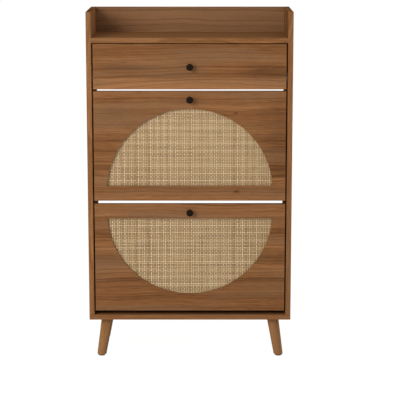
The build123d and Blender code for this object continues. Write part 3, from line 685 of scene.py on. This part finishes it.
def cane_strand(name, across):
    """Cane strands that lie side by side along an axis, each with its own tone and with painted shade on its
    edges.
    """
    cane = settings("cane")
    rows = CANE_ROWS[across]
    material, tree, shader = blank(name)
    coordinates = object_coordinates(tree)
    in_rows = add(tree, "ShaderNodeSeparateXYZ", {"Vector": coordinates}).outputs[across]
    in_rows = maths(tree, "DIVIDE", in_rows, cane.pitch)
    row = maths(tree, "FLOOR", maths(tree, "ADD", in_rows, 0.5))
    beside = maths(tree, "ABSOLUTE", maths(tree, "SUBTRACT", in_rows, row))
    own = maths(tree, "FRACT", maths(tree, "MULTIPLY", row, rows["own_step"]))
    pale = maths(tree, "FRACT", maths(tree, "MULTIPLY", row, rows["pale_step"]))
    pale = step(tree, pale, 0.70, 0.78)
    drawn = {"W": maths(tree, "ADD", row, rows["draw"])}
    random = add(tree, "ShaderNodeTexWhiteNoise", drawn, noise_dimensions="1D").outputs["Value"]
    fibres = noise(tree, scaled(tree, coordinates, rows["fibres"]), 2.0)
    stain = noise(tree, scaled(tree, coordinates, rows["stain"]), 2.0)
    single = rows["single"]
    parts = [(own, single / 2), (pale, 0.40), (random, single), (stain, 0.6), (fibres, 0.8)]
    tone = weighted(tree, rows["middle"], parts)
    shade = ramp(tree, tone, [(0.0, cane.shade), (0.36, cane.middle), (0.90, cane.pale)])
    # painted shade: each strand's edges are darkened towards the shaded colour, where it dips beside its
    # neighbours
    edge = faded(tree, beside, 0.11, 0.5 * cane.width / cane.pitch, cane.edge)
    tree.links.new(mix(tree, edge, shade, cane.shade), shader.inputs["Base Color"])
    shader.inputs["Roughness"].default_value = 0.6
    shader.inputs["Specular IOR Level"].default_value = 0.3
    bump(tree, shader, fibres, strength=0.25, distance=0.0002)
    return material


def finish(
    name, shade, roughness, metallic=0.0, grain=700.0, along=None, depth=0.15, worn=0.12, gloss=0.4,
):
    """Plain finish with fine grain, in waves per metre, that may differ along X."""
    material, tree, shader = blank(name)
    coordinates = object_coordinates(tree)
    fine = noise(tree, scaled(tree, coordinates, (along or grain, grain, grain)), 2.0)
    broad = noise(tree, scaled(tree, coordinates, (35.0, 35.0, 35.0)), 2.0, 4.0)
    darker = [channel * (1.0 - 2.0 * worn) for channel in shade]
    lighter = [min(1.0, channel * (1.0 + worn)) for channel in shade]
    tone = maths(tree, "ADD", maths(tree, "MULTIPLY", fine, 0.5), maths(tree, "MULTIPLY", broad, 0.5))
    tree.links.new(ramp(tree, tone, [(0.32, darker), (0.68, lighter)]), shader.inputs["Base Color"])
    tree.links.new(weighted(tree, roughness, [(broad, 0.2)]), shader.inputs["Roughness"])
    shader.inputs["Metallic"].default_value = metallic
    shader.inputs["Specular IOR Level"].default_value = gloss
    bump(tree, shader, fine, strength=depth, distance=0.0002)
    return material


def dress(material, *nodes):
    """Give CAD nodes a material."""
    for name in nodes:
        node = frame["nodes"][name]
        if not node.material_slots:
            node.data.materials.append(material)
        for slot in node.material_slots:
            slot.material = material


# Operators


class CABINET_OT_finish_boards(bpy.types.Operator):
    """Give every outer board its own walnut, with the grain along it"""

    bl_idname = "cabinet.finish_boards"
    bl_label = "Finish the walnut boards"

    def execute(self, context):
        for index, (name, board) in enumerate(BOARDS.items()):
            dress(self.wood(name, board, FIRST_SEED + SEED_STEP * index), name)
        return {"FINISHED"}

    def wood(self, name, board, seed):
        """A board's own walnut, with its heart, marks and painted shade at their places in the frame."""
        low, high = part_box(name)
        middle = (low + high) / 2
        grain = board["grain"]
        upright = high.z - low.z > high.y - low.y
        sideways = UP if grain == ACROSS and upright else BACK
        depth = BACK if sideways == UP else (UP if grain == ACROSS else ACROSS)
        along, aside = board["heart"]
        heart = middle + grain * along + sideways * aside + depth * HEART_DEPTH
        options = {key: board[key] for key in ("stretch", "gloss", "tint") if key in board}
        for kind in ("shade_and_blotches", "knots", "arches"):
            options[kind] = [(middle + Vector((x, 0, z)), *form) for x, z, *form in board.get(kind, ())]
        stripes = board.get("stripes", ())
        options["stripes"] = [(bottom - aside, top - aside, lift) for bottom, top, lift in stripes]
        return walnut(f"walnut_{name}", grain, heart, seed, ends=BACK, tint_share=BOARD_TINT, **options)


class CABINET_OT_weave_cane(bpy.types.Operator):
    """Weave the half-moon cane panels of both doors"""

    bl_idname = "cabinet.weave_cane"
    bl_label = "Weave the cane"

    def execute(self, context):
        upright = cane_strand("cane_upright", "X")
        level = cane_strand("cane_level", "Z")
        for door in DOORS:
            for name, lying, material in (("level", True, level), ("upright", False, upright)):
                piece = self.strands(f"{door}_cane_{name}_strands", lying, door)
                settle(piece, material, f"{door}_door", "cane", f"{door}_door_cane")
        return {"FINISHED"}

    def strands(self, name, lying, door):
        """All the level or all the upright strands of a door's cane."""
        cane = settings("cane")
        low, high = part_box(f"{door}_door_cane")
        middle = (low + high) / 2
        piece = self.strand_pair(name, -1 if lying else 1)
        across = 0.0 if lying else pi / 2
        reach = 2 * cane.pitch
        count = int((high.x - low.x) / reach) + 2
        for index, offset in enumerate(((reach, 0, 0), (0, 0, reach))):
            row = piece.modifiers.new(f"rows_{index}", "ARRAY")
            row.use_relative_offset = False
            row.use_constant_offset = True
            row.constant_offset_displace = offset
            row.count = count
            row.use_merge_vertices = index == 0
            row.merge_threshold = cane.thickness / 10
            choose(piece)
            bpy.ops.object.modifier_apply(modifier=row.name)
        start = -reach * (count // 2)
        turn = Matrix.Rotation(-across, 4, "Y")
        corner = Matrix.Translation((start, 0, start))
        crossing = floor(middle.z / reach) * reach
        place(piece, Matrix.Translation((0, middle.y, crossing)) @ turn @ corner)
        self.trim(piece, door, "z" if lying else "x")
        return piece

    def strand_pair(self, name, front):
        """Two neighbouring strands over two crossings, along X, that rise and fall by turns."""
        cane = settings("cane")
        clear_selection()
        bpy.ops.mesh.primitive_circle_add(vertices=cane.sides, radius=0.5)
        piece = bpy.context.object
        piece.name = name
        section = Matrix.Diagonal((1, cane.thickness, cane.width, 1)) @ Matrix.Rotation(pi / 2, 4, "Y")
        place(piece, Matrix.Translation((0, front * cane.rise, 0)) @ section)
        edit_all(piece)
        count = 2 * cane.steps
        heights = [np.cos(2 * pi * index / count) * front * cane.rise for index in range(count + 1)]
        for before, after in zip(heights, heights[1:]):
            move = (cane.pitch / cane.steps, after - before, 0)
            bpy.ops.mesh.extrude_region_move(TRANSFORM_OT_translate={"value": move})
        bpy.ops.mesh.select_all(action="SELECT")
        bpy.ops.mesh.normals_make_consistent(inside=False)
        bpy.ops.mesh.duplicate_move(TRANSFORM_OT_translate={"value": (cane.pitch, 0, cane.pitch)})
        leave_edit()
        return piece

    def stray(self, piece, column):
        """Lead each strand a little off its row; gives back the points as they lie with no straying."""
        cane = settings("cane")
        points = np.empty(len(piece.data.vertices) * 3)
        piece.data.vertices.foreach_get("co", points)
        points = points.reshape(-1, 3)
        row = np.round(points[:, column] / cane.pitch)
        on_rows = points.copy()
        on_rows[:, column] = row * cane.pitch
        first, second = STRAY_STEPS
        points[:, column] += cane.wander * np.sin(row * first) * np.cos(row * second)
        piece.data.vertices.foreach_set("co", points.ravel())
        return np.round(on_rows, 6)

    def outside(self, points, door, spread_x, spread_z):
        """Which points, with their spread on both sides, lie outside the half-moon in the door's rebate."""
        trim = settings("cane").trim
        low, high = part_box(f"{door}_door_cane")
        half = (high.x - low.x) / 2
        tall = high.z - low.z
        chord = (half ** 2 - tall ** 2) / (2 * tall)
        flat_below = door == "upper"
        heart_z = low.z - chord if flat_below else high.z + chord
        radius = tall + chord - trim
        x, z = points[:, 0], points[:, 2]
        above = (z - low.z if flat_below else high.z - z) - spread_z
        from_heart = np.hypot(abs(x) + spread_x, abs(z - heart_z) + spread_z)
        return (from_heart > radius) | (above < trim)

    def trim(self, piece, door, aside):
        """Let the strands stray a little, cut them to the half-moon ring by ring, and close their ends."""
        cane = settings("cane")
        points = self.stray(piece, "xyz".index(aside))
        spread = [cane.width / 2 if axis == aside else 0.0 for axis in "xz"]
        outside = self.outside(points, door, *spread)
        edit_all(piece)
        bpy.ops.mesh.select_mode(type="VERT")
        bpy.ops.mesh.select_all(action="DESELECT")
        leave_edit()
        piece.data.vertices.foreach_set("select", outside)
        bpy.ops.object.mode_set(mode="EDIT")
        bpy.ops.mesh.delete(type="VERT")
        bpy.ops.mesh.select_all(action="SELECT")
        bpy.ops.mesh.fill_holes(sides=cane.sides)
        bpy.ops.mesh.normals_make_consistent(inside=False)
        leave_edit()


class CABINET_OT_turn_legs(bpy.types.Operator):
    """Turn the four splayed legs and their foot pads"""

    bl_idname = "cabinet.turn_legs"
    bl_label = "Turn the legs"

    def execute(self, context):
        leg = settings("leg")
        felt = finish("felt_pad", settings("fitting").pad, roughness=0.9, grain=2600.0, depth=0.5)
        low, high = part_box("bottom_panel")
        foot_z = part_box("leg_glides")[1].z
        slant = tan(leg.splay)
        for row, y_sign in ROWS:
            for side, x_sign in SIDES:
                top = Vector((x_sign * (high.x - leg.inset_side), 0, low.z))
                top.y = low.y + leg.inset_depth if y_sign < 0 else high.y - leg.inset_depth
                fall = Vector((x_sign * slant, y_sign * slant, -1))
                foot = top + fall * (low.z - foot_z)
                name = f"{row}_{side}"
                seed = LEG_SEED + LEG_SEED_ACROSS * x_sign + LEG_SEED_BACK * y_sign
                tint = settings("walnut").leg
                wood = walnut(f"walnut_{name}_leg", -fall, foot + LEG_HEART, seed, tint=tint)
                piece = self.leg(f"{name}_turned_leg", top, foot)
                settle(piece, wood, "carcass", "walnut_leg", f"{name}_leg")
                pad = turned(f"{name}_foot_pad", [(leg.pad_radius, 0), (leg.pad_radius, foot_z)], leg.sides)
                round_ring(pad, 0, leg.pad_radius, leg.pad_round, segments=3)
                place(pad, Matrix.Translation((foot.x, foot.y, 0)))
                settle(pad, felt, "carcass", "foot_pad", "leg_glides")
        return {"FINISHED"}

    def leg(self, name, top, foot):
        """One tapered leg, cut level under the cabinet and at the foot, with a rounded foot."""
        leg = settings("leg")
        axis = top - foot
        spare = leg.top_radius
        taper = (leg.top_radius - leg.foot_radius) / axis.length
        rings = [
            (leg.foot_radius - taper * spare, -spare),
            (leg.top_radius + taper * spare, axis.length + spare),
        ]
        piece = turned(name, rings, leg.sides)
        place(piece, Matrix.Translation(foot) @ axis.to_track_quat("Z", "Y").to_matrix().to_4x4())
        for level, keep_below in ((top, True), (foot, False)):
            edit_all(piece)
            bpy.ops.mesh.bisect(
                plane_co=level, plane_no=UP, use_fill=True, clear_outer=keep_below, clear_inner=not keep_below
            )
            leave_edit()
        edit_edges(piece, lambda point: abs(point.z - foot.z) < NEAR)
        bpy.ops.mesh.bevel(offset=leg.foot_round, segments=5, affect="EDGES")
        leave_edit()
        return piece


class CABINET_OT_turn_knobs(bpy.types.Operator):
    """Turn the three black knobs"""

    bl_idname = "cabinet.turn_knobs"
    bl_label = "Turn the knobs"

    def execute(self, context):
        knob = settings("knob")
        paint = finish("black_paint", knob.paint, roughness=0.5, grain=1500.0, depth=0.12, gloss=0.08)
        for name in FRONTS:
            low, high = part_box(f"{name}_knob")
            reach = high.y - low.y
            radius = (high.x - low.x) / 2
            rings = [
                (knob.neck_radius, 0),
                (knob.neck_radius, knob.flare_start),
                (radius, knob.rim_start),
                (radius, reach),
            ]
            piece = turned(f"{name}_turned_knob", rings, knob.sides)
            round_ring(piece, reach, radius, knob.rim_round, segments=6)
            round_ring(piece, knob.rim_start, radius, knob.back_round, segments=3)
            round_ring(piece, knob.flare_start, knob.neck_radius, knob.back_round, segments=3)
            root = Vector(((low.x + high.x) / 2, high.y, (low.z + high.z) / 2))
            place(piece, Matrix.Translation(root) @ Matrix.Rotation(pi / 2, 4, "X"))
            settle(piece, paint, name, "black_knob", f"{name}_knob")
        return {"FINISHED"}


class CABINET_OT_drive_screws(bpy.types.Operator):
    """Drive the small screws that hold hinge plates, flip frames and rails"""

    bl_idname = "cabinet.drive_screws"
    bl_label = "Drive the screws"

    def execute(self, context):
        plated = finish("plated_screw", settings("fitting").steel, roughness=0.34, metallic=1.0, depth=0.05)
        head = self.head()
        for name, body, seats in self.rows():
            copies = [self.copy(head, seat, facing) for seat, facing in seats]
            settle(joined(name, copies), plated, body, "steel")
        choose(head)
        bpy.ops.object.delete()
        return {"FINISHED"}

    def head(self):
        """Low round head along +Z with a cross recess."""
        screw = settings("screw")
        rings = [(screw.radius, 0), (screw.radius, screw.height)]
        piece = turned("screw_head", rings, screw.sides)
        round_ring(piece, screw.height, screw.radius, screw.height * screw.crown, segments=3)
        bars = []
        for turn in (0, pi / 2):
            clear_selection()
            bpy.ops.mesh.primitive_cube_add(size=1)
            bar = bpy.context.object
            size = Matrix.Diagonal((screw.recess, screw.recess_width, screw.height, 1))
            place(bar, Matrix.Translation((0, 0, screw.height)) @ Matrix.Rotation(turn, 4, "Z") @ size)
            bars.append(bar)
        for bar in bars:
            cut = piece.modifiers.new("recess", "BOOLEAN")
            cut.object = bar
            cut.solver = "EXACT"
            choose(piece)
            bpy.ops.object.modifier_apply(modifier=cut.name)
        choose(*bars)
        bpy.ops.object.delete()
        return piece

    def copy(self, head, seat, facing):
        """Copy of the head with its own mesh, on a seat and facing a direction."""
        choose(head)
        bpy.ops.object.duplicate(linked=False)
        piece = bpy.context.object
        place(piece, Matrix.Translation(seat) @ facing.to_track_quat("Z", "Y").to_matrix().to_4x4())
        return piece

    def rows(self):
        """Name, body and seats of each group of screws."""
        frames = [(f"{door}_flip_frame_screws", f"{door}_door", self.frame_seats(door)) for door in DOORS]
        return [
            ("pivot_plate_screws", "carcass", self.plate_seats()),
            *frames,
            ("cabinet_rail_screws", "carcass", self.cabinet_rail_seats()),
            ("drawer_rail_screws", "drawer", self.drawer_rail_seats()),
        ]

    def inner_face(self, sign):
        """Where the inner face of a side panel lies across the cabinet."""
        return sign * abs(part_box("left_side_panel")[1].x)

    def plate_seats(self):
        """Seats above and below each door's pivots, on the pivot plates."""
        screw = settings("screw")
        seats = []
        for joint in frame["record"]["behaviour"]["joints"]:
            if joint["name"] not in DOOR_JOINTS:
                continue
            pivot = Vector(joint["pos_m"])
            for _, sign in SIDES:
                face = self.inner_face(sign) - sign * screw.plate
                for rise in (-screw.plate_rise, screw.plate_rise):
                    seat = Vector((face, pivot.y + screw.plate_back, pivot.z + rise))
                    seats.append((seat, ACROSS * -sign))
        return seats

    def frame_seats(self, door):
        """Seats on the flanges that hold the flip frames to a door."""
        screw = settings("screw")
        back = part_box(f"{door}_door_panel")[1].y + screw.flange
        seats = []
        for side, sign in SIDES:
            low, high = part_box(f"{door}_{side}_flip_frame")
            outer = sign * max(abs(low.x), abs(high.x))
            for part in FRAME_SCREWS:
                height = low.z + part * (high.z - low.z)
                seats.append((Vector((outer - sign * screw.flange_inset, back, height)), BACK))
        return seats

    def cabinet_rail_seats(self):
        """Seats that hold the cabinet's rails to its sides."""
        screw = settings("screw")
        seats = []
        for side, sign in SIDES:
            low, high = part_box(f"{side}_cabinet_rail")
            face = self.inner_face(sign) - sign * screw.sheet
            height = (low.z + high.z) / 2
            for y in (low.y + 2 * screw.end_inset, (low.y + high.y) / 2, high.y - screw.end_inset):
                seats.append((Vector((face, y, height)), ACROSS * -sign))
        return seats

    def drawer_rail_seats(self):
        """Seats under the drawer's rails."""
        screw = settings("screw")
        seats = []
        for side, sign in SIDES:
            low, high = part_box(f"{side}_drawer_rail")
            x = sign * (min(abs(low.x), abs(high.x)) + screw.edge_inset)
            for y in (low.y + screw.end_inset, (low.y + high.y) / 2, high.y - screw.end_inset):
                seats.append((Vector((x, y, low.z)), -UP))
        return seats


class CABINET_OT_finish_fittings(bpy.types.Operator):
    """Give the inner boards, frames, rails and connectors their finishes"""

    bl_idname = "cabinet.finish_fittings"
    bl_label = "Finish the fittings"

    def execute(self, context):
        fitting = settings("fitting")
        inner = fitting.inner_board
        boards = walnut("inner_walnut", ACROSS, heart=(0.1, 0.2, 0.3), seed=71.0, ends=BACK, tint=inner)
        sides = walnut("drawer_walnut", BACK, heart=(0.2, 0.1, 0.7), seed=75.0, ends=UP, tint=inner)
        backing = finish("brown_backing", fitting.backing, roughness=0.7, grain=500.0, worn=0.15)
        plastic = finish("moulded_black", fitting.plastic, roughness=0.5, grain=1800.0, depth=0.3)
        steel = finish("bright_steel", fitting.steel, roughness=0.32, metallic=1.0, depth=0.05)
        zinc = finish("cast_zinc", fitting.zinc, roughness=0.45, metallic=1.0, grain=1500.0)
        plate = finish("plate_paint", fitting.plate, roughness=0.7, depth=0.2, gloss=0.05)
        rail = finish("rail_coat", fitting.rail, roughness=0.4, grain=900.0, worn=0.05)
        nylon = finish("white_nylon", fitting.nylon, roughness=0.45, worn=0.05)
        beech = finish("beech_dowel", fitting.beech, roughness=0.6, grain=1500.0, along=90.0, worn=0.15)
        dress(sides, "drawer_left_side", "drawer_right_side")
        dress(boards, "drawer_back", "drawer_bottom")
        for door in DOORS:
            dress(boards, f"{door}_door_shelves", f"{door}_door_heel_lips")
            dress(backing, f"{door}_door_backing")
            dress(plastic, f"{door}_left_flip_frame", f"{door}_right_flip_frame")
            dress(steel, f"{door}_door_knob_screw")
        for side, _ in SIDES:
            dress(rail, f"{side}_cabinet_rail", f"{side}_drawer_rail")
        dress(steel, "drawer_knob_screw", "cam_bolts", "drawer_cam_bolts", "leg_hanger_bolts")
        dress(steel, "front_roller_axles", "rear_roller_axles")
        dress(plate, "pivot_plates")
        dress(plastic, "stop_pegs")
        dress(zinc, "cam_locks", "drawer_cam_locks", "leg_insert_nuts")
        dress(nylon, "front_rollers", "rear_rollers")
        dress(beech, "wood_dowels")
        return {"FINISHED"}


class CABINET_OT_set_stage(bpy.types.Operator):
    """Set up the floor, the light and the camera"""

    bl_idname = "cabinet.set_stage"
    bl_label = "Set the stage"

    def execute(self, context):
        self.floor()
        self.world()
        for name, (spot, size) in LAMPS.items():
            self.lamp(f"{name}_lamp", spot, size, getattr(settings("stage"), name))
        self.camera()
        context.scene.view_settings.view_transform = "Standard"
        return {"FINISHED"}

    def seen_plainly(self, tree):
        """1 for what the camera sees, directly, in gloss or through glass."""
        path = add(tree, "ShaderNodeLightPath")
        seen = maths(tree, "MAXIMUM", path.outputs["Is Camera Ray"], path.outputs["Is Glossy Ray"])
        return maths(tree, "MAXIMUM", seen, path.outputs["Is Transmission Ray"])

    def floor(self):
        """Large pale floor that shows as near white and keeps a soft shadow."""
        stage = settings("stage")
        clear_selection()
        bpy.ops.mesh.primitive_plane_add(size=FLOOR_SIDE)
        ground = bpy.context.object
        ground.name = "floor"
        material, tree, shader = blank("pale_floor")
        shader.inputs["Base Color"].default_value = (*stage.floor, 1.0)
        shader.inputs["Roughness"].default_value = 0.9
        lit_part = (1.0 - stage.floor_glow) * stage.floor[0] * stage.ambient
        white = (1.0 - lit_part) / stage.floor_glow
        glow = add(tree, "ShaderNodeEmission", {"Color": WHITE, "Strength": white})
        plain = maths(tree, "MULTIPLY", self.seen_plainly(tree), stage.floor_glow)
        both = add(
            tree, "ShaderNodeMixShader", {0: plain, 1: shader.outputs["BSDF"], 2: glow.outputs["Emission"]}
        )
        tree.links.new(both.outputs["Shader"], tree.nodes["Material Output"].inputs["Surface"])
        ground.data.materials.append(material)

    def world(self):
        """Soft light from all round, seen as white."""
        stage = settings("stage")
        world = bpy.data.worlds.new("studio")
        world.use_nodes = True
        tree = world.node_tree
        light = tree.nodes["Background"]
        light.inputs["Color"].default_value = WHITE
        light.inputs["Strength"].default_value = stage.ambient
        white = add(tree, "ShaderNodeBackground", {"Color": WHITE, "Strength": 1.0})
        both = add(
            tree, "ShaderNodeMixShader",
            {0: self.seen_plainly(tree), 1: light.outputs["Background"], 2: white.outputs["Background"]},
        )
        tree.links.new(both.outputs["Shader"], tree.nodes["World Output"].inputs["Surface"])
        bpy.context.scene.world = world

    def lamp(self, name, spot, size, power):
        """Square soft lamp that looks at the middle of the cabinet."""
        light = bpy.data.lights.new(name, "AREA")
        light.shape = "SQUARE"
        light.size = size
        light.energy = power
        lamp = bpy.data.objects.new(name, light)
        bpy.context.scene.collection.objects.link(lamp)
        lamp.location = spot
        middle = (Vector(CAD_BOX[0]) + Vector(CAD_BOX[1])) / 2
        lamp.rotation_euler = (middle - Vector(spot)).to_track_quat("-Z", "Y").to_euler()

    def camera(self):
        """Camera before the fronts, a little above the tray and tilted down."""
        stage = settings("stage")
        eye = bpy.data.cameras.new("camera")
        eye.sensor_width = SENSOR
        eye.lens = stage.focus * SENSOR / IMAGE_SIDE
        eye.clip_end = VIEW_END
        camera = bpy.data.objects.new("camera", eye)
        bpy.context.scene.collection.objects.link(camera)
        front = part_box("left_side_panel")[0].y
        camera.location = (stage.offset, front - stage.distance, stage.height)
        camera.rotation_euler = (pi / 2 - stage.tilt, 0, 0)
        bpy.context.scene.camera = camera


OPERATORS = (
    CABINET_OT_finish_boards,
    CABINET_OT_finish_fittings,
    CABINET_OT_weave_cane,
    CABINET_OT_turn_legs,
    CABINET_OT_turn_knobs,
    CABINET_OT_drive_screws,
    CABINET_OT_set_stage,
)
GROUPS = {
    "walnut": WalnutSettings,
    "cane": CaneSettings,
    "leg": LegSettings,
    "knob": KnobSettings,
    "screw": ScrewSettings,
    "fitting": FittingSettings,
    "stage": StageSettings,
}


class CABINET_PT_looks(bpy.types.Panel):
    """Settings and steps of the cabinet's looks"""

    bl_idname = "CABINET_PT_looks"
    bl_label = "Shoe cabinet"
    bl_space_type = "VIEW_3D"
    bl_region_type = "UI"
    bl_category = "Cabinet"

    def draw(self, context):
        for name, group in GROUPS.items():
            box = self.layout.box()
            box.label(text=name.capitalize())
            for prop in group.__annotations__:
                box.prop(settings(name), prop)
        for operator in OPERATORS:
            self.layout.operator(operator.bl_idname)


CLASSES = (*GROUPS.values(), *OPERATORS, CABINET_PT_looks)


def register():
    """Register the classes and hang the settings on the scene."""
    for item in CLASSES:
        bpy.utils.register_class(item)
    for name, group in GROUPS.items():
        setattr(bpy.types.Scene, f"cabinet_{name}", PointerProperty(type=group))


def unregister():
    """Take the settings and classes away again."""
    for name in GROUPS:
        delattr(bpy.types.Scene, f"cabinet_{name}")
    for item in reversed(CLASSES):
        bpy.utils.unregister_class(item)


def main():
    """Dress the cabinet and set the stage."""
    register()
    for operator in OPERATORS:
        group, name = operator.bl_idname.split(".")
        getattr(getattr(bpy.ops, group), name)()


if __name__ == "__main__":
    main()
